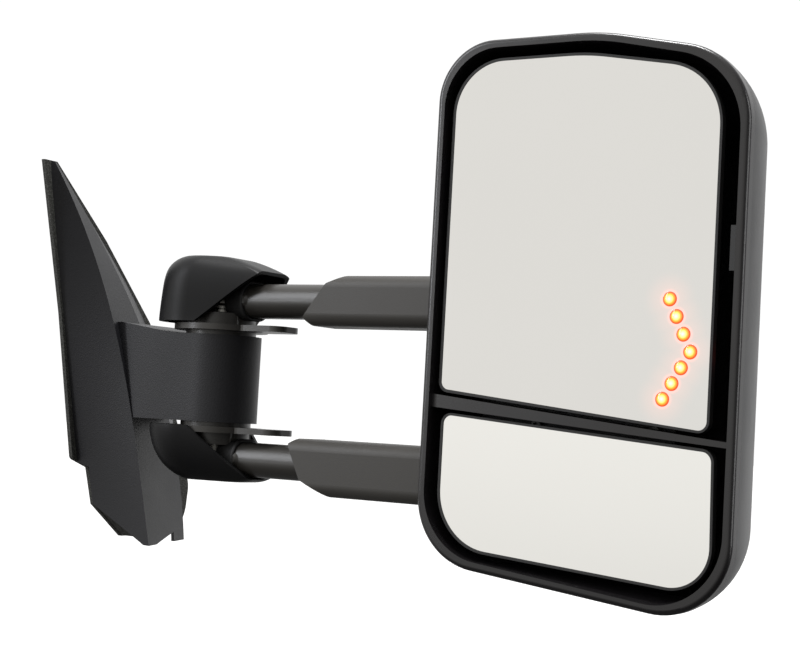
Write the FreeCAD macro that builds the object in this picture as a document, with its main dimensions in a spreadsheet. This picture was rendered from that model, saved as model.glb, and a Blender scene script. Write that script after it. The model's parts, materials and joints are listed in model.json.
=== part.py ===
"""Door-mounted towing mirror with two telescoping arms, for the right-hand door of a pickup.

Millimetres.  X runs outboard from the door face, Y runs forward and Z runs up.  The origin is on the
door face, level with the middle of the arms.  Each piece is one object of the document, and its Label
names its file.  Pieces are listed in the order in which the mirror goes together on the bench.
"""

import FreeCAD, Part
import math
import os

import Sketcher
from FreeCAD import Placement, Rotation, Vector

doc = FreeCAD.newDocument("towing_mirror")
sheet = doc.addObject("Spreadsheet::Sheet", "dims")

SIZES = {
    # door side
    "gasket_thick": 3, "gasket_step": 14, "cover_wall": 2.6,
    "stud_radius": 4, "stud_knurl": 4.6, "stud_reach": 20, "plate_thick": 7,
    # pivot barrel and block
    "pivot_x": 105, "barrel_radius": 28, "barrel_half": 29.5, "block_top": 36,
    "casting_gap": 0.4, "pin_radius": 8, "pin_bore": 5.5, "bush_wall": 3, "running_gap": 0.05,
    "washer_thick": 2, "hub_radius": 24, "flange_radius": 32, "flange_low": 32.5, "flange_thick": 4,
    "tongue_tip": 164, "tongue_half": 15,
    # arms
    "arm_z": 53.5, "tube_half_high": 11.5, "tube_half_deep": 15, "tube_round": 11, "tube_wall": 2.5,
    "tube_start": 129, "tube_end": 325, "slide_gap": 0.4,
    "cap_radius": 39, "cap_wall": 2.6, "cap_hood": 147,
    # sleeves
    "sleeve_nose": 186, "sleeve_end": 345, "sleeve_half_deep": 20, "sleeve_inner": 36.9,
    "sleeve_outer": 70, "sleeve_round": 8, "bush_start": 236, "liner_wall": 2,
    # head outline, at the rim
    "rim_left": 298.5, "rim_right": 497.5, "rim_top": 208.5, "rim_knee": 405, "rim_drop": 190,
    "rim_foot_left": -103, "rim_foot_right": -125.5, "round_tl": 36, "round_knee": 150, "round_tr": 48,
    "round_br": 42, "round_bl": 43, "rim_y": 50, "rim_deep": 8, "rim_lip": 5.2, "head_deep": 92,
    "crown_in": 48, "shell_wall": 2.6, "skirt_y": 28,
    # glasses
    "glass_y": 45, "glass_thick": 2.2, "pad_thick": 0.5, "tray_thick": 2, "tray_lip": 1.6,
    "swivel_y": 33, "swivel_x": 390, "swivel_z": 98, "spot_x": 395, "spot_z": -62,
    # frame and actuator
    "frame_y": 20, "frame_thick": 4, "motor_box_front": 26, "motor_box_back": -10,
    "tilt_lever": 26, "pan_lever": 30, "plunger_radius": 2.5, "ball_radius": 3.2,
}
for row, (alias, value) in enumerate(SIZES.items(), start=1):
    sheet.set(f"A{row}", alias)
    sheet.set(f"B{row}", str(value))
    sheet.setAlias(f"B{row}", alias)
doc.recompute()

parts = {}


def number(expression):
    """The present value of a sheet expression, in millimetres."""
    value = sheet.evalExpression(str(expression))
    return float(getattr(value, "Value", value))


def keep(label, piece):
    """List a finished piece under the label that names its file."""
    piece.Label = label
    parts[label] = piece
    return piece


def new_body(label):
    return doc.addObject("PartDesign::Body", label)


def new_sketch(body, plane, offset="0"):
    """A sketch on one of the body's own origin planes, moved along the plane's normal."""
    sketch = body.newObject("Sketcher::SketchObject", f"{body.Name}_sketch")
    support = next(p for p in body.Origin.OriginFeatures if p.Role == plane)
    sketch.AttachmentSupport = [(support, "")]
    sketch.MapMode = "FlatFace"
    sketch.setExpression("AttachmentOffset.Base.z", str(offset))
    return sketch


def outline(sketch, corners):
    """Close straight edges through the corners; a corner's third entry is its rounding radius."""
    first = sketch.GeometryCount
    count = len(corners)
    spots = [Vector(number(corner[0]), number(corner[1]), 0) for corner in corners]
    for i in range(count):
        sketch.addGeometry(Part.LineSegment(spots[i], spots[(i + 1) % count]))
    for i in range(count):
        after = first + (i + 1) % count
        sketch.addConstraint(Sketcher.Constraint("Coincident", first + i, 2, after, 1))
    for i, spot in enumerate(spots):
        for axis, value in (("X", spot.x), ("Y", spot.y)):
            made = sketch.addConstraint(Sketcher.Constraint("Distance" + axis, -1, 1, first + i, 1, value))
            sketch.renameConstraint(made, f"corner_{first + i}_{axis}")
    for i, corner in enumerate(corners):
        if len(corner) > 2:
            arc = sketch.GeometryCount
            sketch.fillet(first + (i - 1) % count, 2, number(corner[2]), True, True)
            made = sketch.addConstraint(Sketcher.Constraint("Radius", arc, number(corner[2])))
            sketch.renameConstraint(made, f"corner_{first + i}_round")
            sketch.setExpression(f"Constraints.corner_{first + i}_round", str(corner[2]))
        sketch.setExpression(f"Constraints.corner_{first + i}_X", str(corner[0]))
        sketch.setExpression(f"Constraints.corner_{first + i}_Y", str(corner[1]))
    return sketch


def circle(sketch, x, y, radius):
    """A circle whose centre and radius are sheet expressions."""
    made = sketch.addGeometry(Part.Circle(Vector(number(x), number(y), 0), Vector(0, 0, 1), number(radius)))
    for kind, text in (("DistanceX", x), ("DistanceY", y)):
        index = sketch.addConstraint(Sketcher.Constraint(kind, -1, 1, made, 3, number(text)))
        sketch.setExpression(f"Constraints[{index}]", str(text))
    index = sketch.addConstraint(Sketcher.Constraint("Radius", made, number(radius)))
    sketch.setExpression(f"Constraints[{index}]", str(radius))
    return sketch


def pad(body, sketch, length, both=False, cut=False):
    """Pad or pocket a sketch; a cut goes towards the sketch's normal, as the pad does."""
    feature = body.newObject("PartDesign::Pocket" if cut else "PartDesign::Pad", f"{body.Name}_step")
    feature.Profile = sketch
    feature.setExpression("Length", str(length))
    feature.Reversed = cut and not both
    feature.Midplane = both
    return feature


def loft(body, sketches, cut=False, ruled=False):
    """Loft through a row of sketches."""
    kind = "PartDesign::SubtractiveLoft" if cut else "PartDesign::AdditiveLoft"
    feature = body.newObject(kind, f"{body.Name}_loft")
    feature.Profile = sketches[0]
    feature.Sections = sketches[1:]
    feature.Ruled = ruled
    return feature


def round_edges(body, edges, radius):
    """Round the named edges of the body's last feature."""
    solid = body.Tip
    feature = body.newObject("PartDesign::Fillet", f"{body.Name}_round")
    feature.Base = (solid, edges)
    feature.setExpression("Radius", str(radius))
    return feature


def turned(label, profile, place=Vector(), turn=Rotation()):
    """A lathe piece: its half profile is (radius, height) corners, spun about the body's own Z."""
    body = new_body(label)
    sketch = outline(new_sketch(body, "XZ_Plane"), profile)
    feature = body.newObject("PartDesign::Revolution", f"{label}_spin")
    feature.Profile = sketch
    feature.ReferenceAxis = (sketch, ["V_Axis"])
    feature.Angle = 360
    body.Placement = Placement(place, turn)
    return body


def ring(radius_in, radius_out, low, high):
    """The half profile of a plain ring."""
    return [(radius_in, low), (radius_out, low), (radius_out, high), (radius_in, high)]


def group(label, prototype, places):
    """Copies of one fastener, as separate solids of one piece."""
    doc.recompute()
    solids = []
    for place in places:
        solid = prototype.Shape.copy()
        solid.Placement = place.multiply(solid.Placement)
        solids.append(solid)
    piece = doc.addObject("Part::Feature", label)
    piece.Shape = Part.Compound(solids)
    return keep(label, piece)


def mirror_z(corners):
    """The same outline below the arms' mid-plane."""
    return [(corner[0], f"-({corner[1]})", *corner[2:]) for corner in corners]


# ---- door side -------------------------------------------------------------------------------------

# Levels through the sail, top to foot: height, rear edge, crease x and y, bulge x and y, front edge.
SAIL = [
    (146, -74.5, 3.5, -69, 2.4, -66.8, -64.5),
    (95, -62, 21, -49, 13.5, -28, -9.5),
    (40, -48.7, 37, -36, 23, 8, 44),
    (-35, -30.5, 56, -28.5, 36, 36, 84),
    (-118, -10, 75, -26, 47, 46, 102),
]


def sail_form(label, wall):
    """The sail's solid form, drawn in by a wall: it stands on the door face and leans forward."""
    body = new_body(label)
    levels = []
    for height, rear, crease_x, crease_y, bulge_x, bulge_y, front in SAIL:
        shrink = wall * (0.5 if height == SAIL[0][0] else 1)
        corners = [
            (-wall, rear + 1.2 * shrink),
            (crease_x - 1.1 * shrink, crease_y + 0.9 * shrink),
            (bulge_x - shrink, bulge_y - 0.5 * shrink),
            (-wall, front - 1.4 * shrink),
        ]
        drop = wall if height == SAIL[0][0] else 0
        levels.append(outline(new_sketch(body, "XY_Plane", height - drop * 4), corners))
    loft(body, levels)
    return body


def block_form(body, wall):
    """The arm block and the pivot barrel that it ends in, drawn in by a wall."""
    half = f"(dims.barrel_radius - {wall})"
    low = f"-dims.barrel_half + {wall}"
    tall = f"dims.barrel_half + dims.block_top - {2 * wall}" if wall == 0 else f"2 * dims.barrel_half - {2 * wall}"
    corners = [(f"-{wall}", f"-{half}"), ("dims.pivot_x", f"-{half}"), ("dims.pivot_x", half), (f"-{wall}", half)]
    pad(body, outline(new_sketch(body, "XY_Plane", low), corners), tall)
    if wall == 0:
        pad(body, circle(new_sketch(body, "XY_Plane", low), "dims.pivot_x", 0, half), tall)
    return body


outer = block_form(sail_form("sail_outer", 0), 0)
slope = [
    (40, "dims.block_top"), (78, "dims.barrel_half + 1"), (92, "dims.barrel_half"),
    (140, "dims.barrel_half"), (140, 60), (40, 60),
]
pad(outer, outline(new_sketch(outer, "XZ_Plane", -60), slope), 120, cut=True)
inner = block_form(sail_form("sail_inner", SIZES["cover_wall"]), SIZES["cover_wall"])
notch = [(-5, -62), (14, -66), (15.5, -92), (72, -117.5), (72, -130), (-5, -130)]
pad(outer, outline(new_sketch(outer, "XZ_Plane", -25), notch), 120, cut=True)
door_edge = [(-95, 143), (130, 143), (130, -60), (101, -116, 26), (-95, -116)]
trim = new_body("sail_trim")
pad(trim, outline(new_sketch(trim, "YZ_Plane", "dims.gasket_thick"), door_edge), 160)
bore = new_body("barrel_bore")
pad(bore, circle(new_sketch(bore, "XY_Plane", -60), "dims.pivot_x", 0, "dims.barrel_radius - dims.cover_wall"), 120)


def boolean(kind, label, base, tool):
    """Cut, Fuse or Common of two pieces."""
    made = doc.addObject(f"Part::{kind}", label)
    made.Base = base
    made.Tool = tool
    return made


# Three screws come through the casting from the door side into bosses inside the cover.
COVER_SCREWS = [(-43, 82), (-26, 14), (50, -38)]
bosses = new_body("cover_bosses")
pegs = new_sketch(bosses, "YZ_Plane", "dims.plate_thick")
for y, z in COVER_SCREWS:
    circle(pegs, y, z, 4.2)
pad(bosses, pegs, 60)
pilots = new_body("cover_pilots")
pilot_holes = new_sketch(pilots, "YZ_Plane")
for y, z in COVER_SCREWS:
    circle(pilot_holes, y, z, 2)
pad(pilots, pilot_holes, 17)
trimmed = boolean("Common", "sail_trimmed", outer, trim)
shell = boolean("Fuse", "sail_and_bosses", boolean("Cut", "sail_shell", trimmed, inner),
                boolean("Common", "bosses_inside", outer, bosses))
keep("base_cover", boolean("Cut", "base_cover", boolean("Cut", "sail_bored", shell, bore), pilots))

# The foam gasket: a ring on the door face, thicker where the cover is notched at its lower rear corner.
gasket = new_body("door_gasket")
gasket_edge = [
    (-76, 143.5), (-63.5, 143.5), (-8.5, 95), (45, 40), (85, -35), (102, -80, 20), (98, -116.5, 24),
    (28, -116.5), (-4, -93), (-12, -67), (-29, -61, 4), (-49.7, 40),
]
gasket_window = [(-58, 108), (-47, 108), (32, 34), (70, -38), (84, -100, 8), (34, -100), (8, -62), (-18, -52), (-39, 36)]
pad(gasket, outline(new_sketch(gasket, "YZ_Plane"), gasket_edge), "dims.gasket_thick")
step_edge = [(0, -68), (8, -68), (14, -92), (38, -113), (28, -116), (-4, -92.5), (-11, -68)]
pad(gasket, outline(new_sketch(gasket, "YZ_Plane"), step_edge), "dims.gasket_step")
pad(gasket, outline(new_sketch(gasket, "YZ_Plane", -1), gasket_window), 20, cut=True)
keep("door_gasket", gasket)

STUDS = [(-24, 66), (12, -22), (62, -72)]

# The die-cast mount: door plate, I-section neck and bored barrel.
casting = new_body("mount_casting")
plate_edge = [(-53, 96), (-43, 96), (29, 33), (67, -38), (80, -97, 6), (36, -97), (10, -60), (-16, -50), (-36, 34)]
pad(casting, outline(new_sketch(casting, "YZ_Plane"), plate_edge), "dims.plate_thick")
neck = [(6, 26), (46, 25), ("dims.pivot_x", 25), ("dims.pivot_x", -25), (34, -25), (6, -44)]
pad(casting, outline(new_sketch(casting, "XZ_Plane"), neck), 40, both=True)
web = [("dims.plate_thick", 20), (46, 19, 6), (76, 19, 4), (76, -19, 4), (38, -19, 6), ("dims.plate_thick", -37)]
for side in (-20, 3):
    pad(casting, outline(new_sketch(casting, "XZ_Plane", side), web), 17, cut=True)
barrel = circle(new_sketch(casting, "XY_Plane"), "dims.pivot_x", 0,
                "dims.barrel_radius - dims.cover_wall - dims.casting_gap")
pad(casting, barrel, "2 * dims.barrel_half", both=True)
eye = circle(new_sketch(casting, "XY_Plane", -40), "dims.pivot_x", 0, "dims.pin_radius + dims.bush_wall")
pad(casting, eye, 80, cut=True)
harness_hole = circle(new_sketch(casting, "YZ_Plane", -1), 36, -62, 11)
pad(casting, harness_hole, 10, cut=True)
stud_holes = new_sketch(casting, "YZ_Plane", -1)
for y, z in STUDS:
    circle(stud_holes, y, z, "dims.stud_knurl")
pad(casting, stud_holes, 10, cut=True)
for radius, depth in ((2.2, 10), (4.3, 4)):
    cover_holes = new_sketch(casting, "YZ_Plane", -1)
    for y, z in COVER_SCREWS:
        circle(cover_holes, y, z, radius)
    pad(casting, cover_holes, depth, cut=True)
keep("mount_casting", casting)

stud_profile = [
    (0, "-dims.stud_reach"), ("dims.stud_radius - 0.8", "-dims.stud_reach"),
    ("dims.stud_radius", "-dims.stud_reach + 1"), ("dims.stud_radius", -1), ("dims.stud_radius - 0.6", -1),
    ("dims.stud_radius - 0.6", 0), ("dims.stud_knurl", 0), ("dims.stud_knurl", "dims.plate_thick"),
    (8, "dims.plate_thick"), (8, "dims.plate_thick + 4"), (0, "dims.plate_thick + 4"),
]
stud = turned("stud_form", stud_profile)
across = Rotation(Vector(0, 1, 0), 90)
group("mounting_studs", stud, [Placement(Vector(0, y, z), across) for y, z in STUDS])

grommet_profile = [(7, -9), (9, -9), (10.8, -4), (10.8, 7), (13, 7), (13, 10), (7, 10)]
keep("harness_grommet", turned("harness_grommet", grommet_profile, Vector(0, 36, -62), across))

cover_screw = turned("cover_screw_form", [(0, 0.4), (4, 0.4), (4, 3), (2, 3), (2, 17), (0, 17)])
group("cover_screws", cover_screw, [Placement(Vector(0, y, z), across) for y, z in COVER_SCREWS])

# ---- pivot -----------------------------------------------------------------------------------------

AXIS = Vector(SIZES["pivot_x"], 0, 0)
flip = Rotation(Vector(1, 0, 0), 180)
forward = Rotation(Vector(1, 0, 0), -90)
rearward = Rotation(Vector(1, 0, 0), 90)


def both_ends(place, label, prototype):
    """The same piece above and, turned over, below the arms' mid-plane."""
    return group(label, prototype, [Placement(place, Rotation()), Placement(place, flip)])


bush_profile = ring("dims.pin_radius + dims.running_gap", "dims.pin_radius + dims.bush_wall", 9.5, "dims.barrel_half")
both_ends(AXIS, "pivot_bushes", turned("bush_form", bush_profile))
washer_profile = ring("dims.pin_radius + 0.4", "dims.hub_radius", "dims.barrel_half", "dims.barrel_half + dims.washer_thick")
both_ends(AXIS, "friction_washers", turned("washer_form", washer_profile))

pin_profile = [
    ("dims.pin_bore", -50), (12.5, -50), (12.5, -44.5), ("dims.pin_radius", -44.5), ("dims.pin_radius", 76),
    ("dims.pin_radius - 1", 77), ("dims.pin_bore", 77),
]
keep("pivot_pin", turned("pivot_pin", pin_profile, AXIS))


def bracket(label, side):
    """One cast arm bracket: hub, flange with its tongue, riser and the spigot that fills the tube."""
    level = mirror_z if side < 0 else list
    body = new_body(label)
    seat = f"{side} * (dims.barrel_half + dims.washer_thick)"
    spindle = [(0, seat), ("dims.hub_radius", seat), ("dims.hub_radius", f"{side} * 44.5"), (0, f"{side} * 44.5")]
    sketch = outline(new_sketch(body, "XZ_Plane"), spindle)
    hub = body.newObject("PartDesign::Revolution", f"{label}_spin")
    hub.Profile = sketch
    hub.ReferenceAxis = (sketch, ["V_Axis"])
    hub.Angle = 360
    low = "dims.flange_low" if side > 0 else "-dims.flange_low - dims.flange_thick"
    pad(body, circle(new_sketch(body, "XY_Plane", low), 0, 0, "dims.flange_radius"), "dims.flange_thick")
    reach = "dims.tongue_tip - dims.pivot_x"
    tongue = [(0, -20), (30, "-dims.tongue_half"), (reach, -13, 9), (reach, 13, 9), (30, "dims.tongue_half"), (0, 20)]
    pad(body, outline(new_sketch(body, "XY_Plane", low), tongue), "dims.flange_thick")
    riser = level([(13.5, 36), (13.5, 62), (22, 62), (22, 36)])
    pad(body, outline(new_sketch(body, "XZ_Plane"), riser), 22, both=True)
    spigot = outline(new_sketch(body, "YZ_Plane", 20), tube_corners(side, "-dims.tube_wall - 0.05"))
    pad(body, spigot, 48)
    bore_up = circle(new_sketch(body, "XY_Plane", -80), 0, 0, "dims.pin_radius + dims.running_gap")
    pad(body, bore_up, 160, cut=True)
    body.Placement = Placement(AXIS, Rotation())
    return keep(label, body)


def tube_corners(side, grow="0"):
    """The arm tube's flat-sided oval, in the plane across the arm, grown by a clearance."""
    centre = f"{side} * dims.arm_z"
    wide = f"(dims.tube_half_deep + {grow})"
    high = f"(dims.tube_half_high + {grow})"
    turn = f"dims.tube_round + {grow}"
    return [
        (f"-{wide}", f"{centre} - {high}", turn), (wide, f"{centre} - {high}", turn),
        (wide, f"{centre} + {high}", turn), (f"-{wide}", f"{centre} + {high}", turn),
    ]


def arm_tube(label, side):
    body = new_body(label)
    length = "dims.tube_end - dims.tube_start - 1"
    pad(body, outline(new_sketch(body, "YZ_Plane", "dims.tube_start + 1"), tube_corners(side)), length)
    hollow = outline(new_sketch(body, "YZ_Plane", "dims.tube_start"), tube_corners(side, "-dims.tube_wall"))
    pad(body, hollow, "dims.tube_end - dims.tube_start + 1", cut=True)
    return keep(label, body)


RIVET_X = 133
rivet_radius = 2.5
for name, side in (("upper", 1), ("lower", -1)):
    holder = bracket(f"{name}_bracket", side)
    tube = arm_tube(f"{name}_arm_tube", side)
    for piece, x in ((holder, RIVET_X - SIZES["pivot_x"]), (tube, RIVET_X)):
        across_tube = circle(new_sketch(piece, "XZ_Plane"), x, f"{side} * dims.arm_z", rivet_radius)
        pad(piece, across_tube, 60, both=True, cut=True)
rivet_profile = [(0, -16.4), (2.4, -16.4), (4.4, -15), (2.5, -15), (2.5, 15), (4.4, 15), (2.4, 16.4), (0, 16.4)]
rivet = turned("rivet_form", rivet_profile)
group("tube_rivets", rivet, [Placement(Vector(RIVET_X, 0, side * SIZES["arm_z"]), forward) for side in (1, -1)])

# Disc springs, stacked in pairs cup to cup, hold the brackets against the barrel.
disc_profile = [(8.2, 0.9), (12.8, 0), (12.8, 1.6), (8.2, 2.5)]
disc = turned("disc_form", disc_profile)
stack = []
for pair in range(4):
    foot = 44.5 + 6.02 * pair
    stack.append(Placement(AXIS + Vector(0, 0, foot + 2.51), flip))
    stack.append(Placement(AXIS + Vector(0, 0, foot + 3.01 + 0.5), Rotation()))
group("pivot_springs", disc, stack)
keep("spring_washer", turned("spring_washer", ring("dims.pin_radius + 0.05", 12.8, 68.7, 71), AXIS))
nut = new_body("pivot_nut")
six = [(12 * math.cos(math.radians(60 * i)), 12 * math.sin(math.radians(60 * i))) for i in range(6)]
pad(nut, outline(new_sketch(nut, "XY_Plane", 71), six), 6)
pad(nut, circle(new_sketch(nut, "XY_Plane", 70), 0, 0, "dims.pin_radius"), 8, cut=True)
nut.Placement = Placement(AXIS, Rotation())
keep("pivot_nut", nut)


# Levels through a pivot cap, from its seat to its crown: height, inset and the hood's reach past the axis.
CAP = [(37.5, 0, 60), (54, 0.8, 58), (67, 2, 52), (76, 4.5, 35), (81, 9.5, 20), (83, 15, 8)]
BOWL = [(32.5, -2, 60), (42, -1, 58), (52, 3.5, 55), (59, 9, 50), (65, 17, 43), (69, 27, 30)]


def cap_form(label, side, levels, shrink):
    """A pivot cap's solid form: round over the hub, drawn out to a hood over the tube."""
    body = new_body(label)
    sketches = []
    for i, (height, inset, hood) in enumerate(levels):
        half = f"(dims.cap_radius - {inset + shrink})"
        drop = shrink * i / (len(levels) - 1)
        plan = [
            (f"-{half}", f"-{half} - 8", f"{half} * 0.7"), (hood - shrink, -17 + shrink + inset / 6, 8),
            (hood - shrink, 17 - shrink - inset / 6, 8), (f"-{half}", f"{half} + 8", f"{half} * 0.7"),
        ]
        level = side * (height - drop - (0.01 if shrink and i == 0 else 0))
        sketches.append(outline(new_sketch(body, "XY_Plane", level), plan))
    loft(body, sketches)
    body.Placement = Placement(AXIS, Rotation())
    return body


def pivot_cover(label, side, levels, mouth_edge):
    """A hollow cap, open below and through a slanted mouth for its tube."""
    skin = cap_form(f"{label}_outer", side, levels, 0)
    room = cap_form(f"{label}_inner", side, levels, SIZES["cap_wall"])
    hollow = boolean("Cut", f"{label}_skin", skin, room)
    mouth = new_body(f"{label}_mouth")
    level = mirror_z if side < 0 else list
    slant = level([*mouth_edge, ("dims.cap_hood", 95), (190, 95), (190, 20), (mouth_edge[0][0], 20)])
    pad(mouth, outline(new_sketch(mouth, "XZ_Plane"), slant), 120, both=True)
    pad(mouth, outline(new_sketch(mouth, "YZ_Plane", "dims.tube_start"), tube_corners(side, 0.6)), 60)
    return keep(label, boolean("Cut", label, hollow, mouth))


pivot_cover("upper_pivot_cover", 1, CAP, [(106, 36), ("dims.cap_hood", 71)])
pivot_cover("lower_pivot_cover", -1, BOWL, [(106, 31), ("dims.cap_hood", 68)])


# ---- sleeves and head ------------------------------------------------------------------------------


def sleeve(label, side, outside, nose):
    """A sleeve: a flat inner face, a hooked nose and a bore that takes the arm tube and its liner."""
    body = new_body(label)
    level = mirror_z if side < 0 else list
    wide = "dims.sleeve_half_deep"
    turn = "dims.sleeve_round"
    section = [
        (f"-{wide}", "dims.sleeve_inner", turn), (wide, "dims.sleeve_inner", turn),
        (wide, outside, turn), (f"-{wide}", outside, turn),
    ]
    start = "dims.sleeve_nose - 10"
    pad(body, outline(new_sketch(body, "YZ_Plane", start), level(section)), f"dims.sleeve_end - ({start})")
    ahead = [(160, 20), (nose[0][0], 20), *nose, (nose[-1][0], 95), (160, 95)]
    pad(body, outline(new_sketch(body, "XZ_Plane"), level(ahead)), 120, both=True, cut=True)
    bore = outline(new_sketch(body, "YZ_Plane", start), tube_corners(side, "dims.slide_gap"))
    pad(body, bore, 200, cut=True)
    seat = outline(
        new_sketch(body, "YZ_Plane", "dims.bush_start"), tube_corners(side, "dims.slide_gap + dims.liner_wall"))
    pad(body, seat, "dims.sleeve_end - dims.bush_start + 1", cut=True)
    return keep(label, body)


UPPER_NOSE = [(191, "dims.sleeve_inner - 0.1"), ("dims.sleeve_nose", 42), (203, 64.5), (216, "dims.sleeve_outer + 0.1")]
LOWER_NOSE = [(185, "dims.sleeve_inner - 0.1"), (180, 40.5), (191, 63.6), (212, 73.6)]
sleeve("upper_sleeve", 1, "dims.sleeve_outer", UPPER_NOSE)
sleeve("lower_sleeve", -1, 73.5, LOWER_NOSE)
for name, side in (("upper", 1), ("lower", -1)):
    liner = new_body(f"{name}_glide_bush")
    start = "dims.bush_start"
    pad(liner, outline(new_sketch(liner, "YZ_Plane", start), tube_corners(side, "dims.slide_gap + dims.liner_wall")),
        "dims.sleeve_end - dims.bush_start")
    through = outline(new_sketch(liner, "YZ_Plane", f"{start} - 1"), tube_corners(side, 0.3))
    pad(liner, through, f"dims.sleeve_end - {start} + 2", cut=True)
    keep(f"{name}_glide_bush", liner)


def rim(inset="0"):
    """The head's outline in the plane of its rim, drawn in by an inset."""
    less = f"0.3 * ({inset})"
    return [
        (f"dims.rim_left + {inset}", f"dims.rim_top - {inset}", f"dims.round_tl - {less}"),
        ("dims.rim_knee", f"dims.rim_top - {inset}", "dims.round_knee"),
        (f"dims.rim_right - {inset}", f"dims.rim_drop - {inset}", f"dims.round_tr - {less}"),
        (f"dims.rim_right - {inset}", f"dims.rim_foot_right + {inset}", f"dims.round_br - {less}"),
        (f"dims.rim_left + {inset}", f"dims.rim_foot_left + {inset}", f"dims.round_bl - {less}"),
    ]


def crown(depth):
    """How far the shell has drawn in at a depth behind the rim: a quarter ellipse."""
    return f"dims.crown_in * (1 - sqrt(1 - ({depth} / dims.head_deep) ^ 2))"


DEPTHS = ["dims.rim_deep", 32, 54, 72, 84, 89.5]
head_shell = new_body("head_shell")
skin = [outline(new_sketch(head_shell, "XZ_Plane", f"dims.rim_y - {d}"), rim(f"({crown(d)})")) for d in DEPTHS]
loft(head_shell, skin)
lining = []
for index, depth in enumerate(DEPTHS):
    shift = f"dims.rim_y - {depth} + dims.shell_wall * {index / (len(DEPTHS) - 1)} + {0.01 if index == 0 else 0}"
    lining.append(outline(new_sketch(head_shell, "XZ_Plane", shift), rim(f"({crown(depth)} + dims.shell_wall)")))
loft(head_shell, lining, cut=True)
for side in (1, -1):
    half = "(dims.sleeve_half_deep + 0.3)"
    top = "dims.sleeve_outer + 0.3" if side > 0 else "74.2"
    door = [(f"-{half}", "dims.sleeve_inner - 0.3", 7.5), (half, "dims.sleeve_inner - 0.3", 7.5),
            (half, top, 7.5), (f"-{half}", top, 7.5)]
    level = mirror_z if side < 0 else list
    pad(head_shell, outline(new_sketch(head_shell, "YZ_Plane", 280), level(door)), 60, cut=True)
POSTS = [(362, 150), (438, 150), (362, -20), (438, -20)]
posts = new_sketch(head_shell, "XZ_Plane", -37.4)
for x, z in POSTS:
    circle(posts, x, z, 5)
pad(head_shell, posts, "37.4 + dims.frame_y - dims.frame_thick")
keep("head_shell", head_shell)

bezel = new_body("bezel")
band = outline(new_sketch(bezel, "XZ_Plane", "dims.rim_y - dims.rim_deep"), rim())
pad(bezel, band, "dims.rim_deep")
doc.recompute()
front_edges = [
    f"Edge{i}" for i, e in enumerate(bezel.Shape.Edges, start=1)
    if all(abs(v.Y + SIZES["rim_y"]) < 0.01 for v in e.Vertexes)
]
round_edges(bezel, front_edges, 3)
skirt = outline(new_sketch(bezel, "XZ_Plane", "dims.skirt_y"), rim("(dims.shell_wall + 1.7)"))
pad(bezel, skirt, "dims.rim_y - dims.rim_deep - dims.skirt_y + 1")
mouth = outline(new_sketch(bezel, "XZ_Plane", "dims.rim_y + 0.1"), rim("(dims.rim_lip)"))
throat = [
    (304.6, 200.5, 32), ("dims.rim_knee", 200.5, 150), (485, 184.5, 40), (489.5, -113, 27), (304.6, -98.5, 38),
]
loft(bezel, [mouth, outline(new_sketch(bezel, "XZ_Plane", "dims.skirt_y - 0.1"), throat)], cut=True)
divider = [(303, -4.2), (493, -23.9), (493, -27.1), (303, -12)]
pad(bezel, outline(new_sketch(bezel, "XZ_Plane", "dims.skirt_y + 2"), divider), 16.5)
keep("bezel", bezel)


# ---- glasses ---------------------------------------------------------------------------------------


def upper_outline(grow=0):
    return [
        (309 - grow, 196 + grow, 31 + grow), (395, 196 + grow, 150), (478.5 + grow, 182 + grow, 37 + grow),
        (478.5 + grow, -18.6 - grow, 5 + grow), (309 - grow, -1 - grow, 5 + grow),
    ]


def lower_outline(grow=0):
    return [
        (312 - grow, -16.5 + grow, 5 + grow), (482 + grow, -30 + grow, 6 + grow),
        (484 + grow, -107 - grow, 23 + grow), (312 - grow, -93 - grow, 35 + grow),
    ]


def layer(body, corners, front, thick):
    """A flat layer; its front stands the given distance to the rear of the arms' plane."""
    return pad(body, outline(new_sketch(body, "XZ_Plane", f"{front} - ({thick})"), corners), thick)


def glass(label, corners):
    body = new_body(label)
    layer(body, corners(), "dims.glass_y", "dims.glass_thick")
    return keep(label, body)


def tray(label, corners, centre_x, centre_z, lever=None):
    """A moulded backing plate: a lip round its glass, two swivel ears and a socket for each plunger."""
    body = new_body(label)
    back = "dims.glass_y - dims.glass_thick - dims.pad_thick"
    layer(body, corners(SIZES["tray_lip"]), "dims.glass_y + 0.4", f"dims.glass_y + 0.4 - ({back}) + dims.tray_thick")
    pad(body, outline(new_sketch(body, "XZ_Plane", back), corners(0.05)), 10, cut=True)
    behind = f"{back} - dims.tray_thick"
    for side in (-1, 1):
        ear = [(centre_x + side * 17, centre_z - 5), (centre_x + side * 21, centre_z - 5),
               (centre_x + side * 21, centre_z + 5), (centre_x + side * 17, centre_z + 5)]
        pad(body, outline(new_sketch(body, "XZ_Plane", "dims.swivel_y - 3"), ear), f"{behind} - dims.swivel_y + 3.5")
    pin_hole = circle(new_sketch(body, "YZ_Plane", centre_x - 30), "-dims.swivel_y", centre_z, 1.56)
    pad(body, pin_hole, 60, cut=True)
    for x, z in lever or []:
        cup = new_sketch(body, "XZ_Plane", "dims.swivel_y - 1")
        circle(cup, x, z, 6.6)
        pad(body, cup, f"{behind} - dims.swivel_y + 1.5")
        hole = circle(new_sketch(body, "XZ_Plane", "dims.swivel_y - 2"), x, z, "dims.ball_radius + 1.1")
        pad(body, hole, f"{behind} - dims.swivel_y + 1.8", cut=True)
    return body


UPPER = (SIZES["swivel_x"], SIZES["swivel_z"])
SPOT = (SIZES["spot_x"], SIZES["spot_z"])
LEVERS = [(UPPER[0], UPPER[1] + SIZES["tilt_lever"]), (UPPER[0] + SIZES["pan_lever"], UPPER[1])]
BACK_OF_GLASS = "dims.glass_y - dims.glass_thick"

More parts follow.
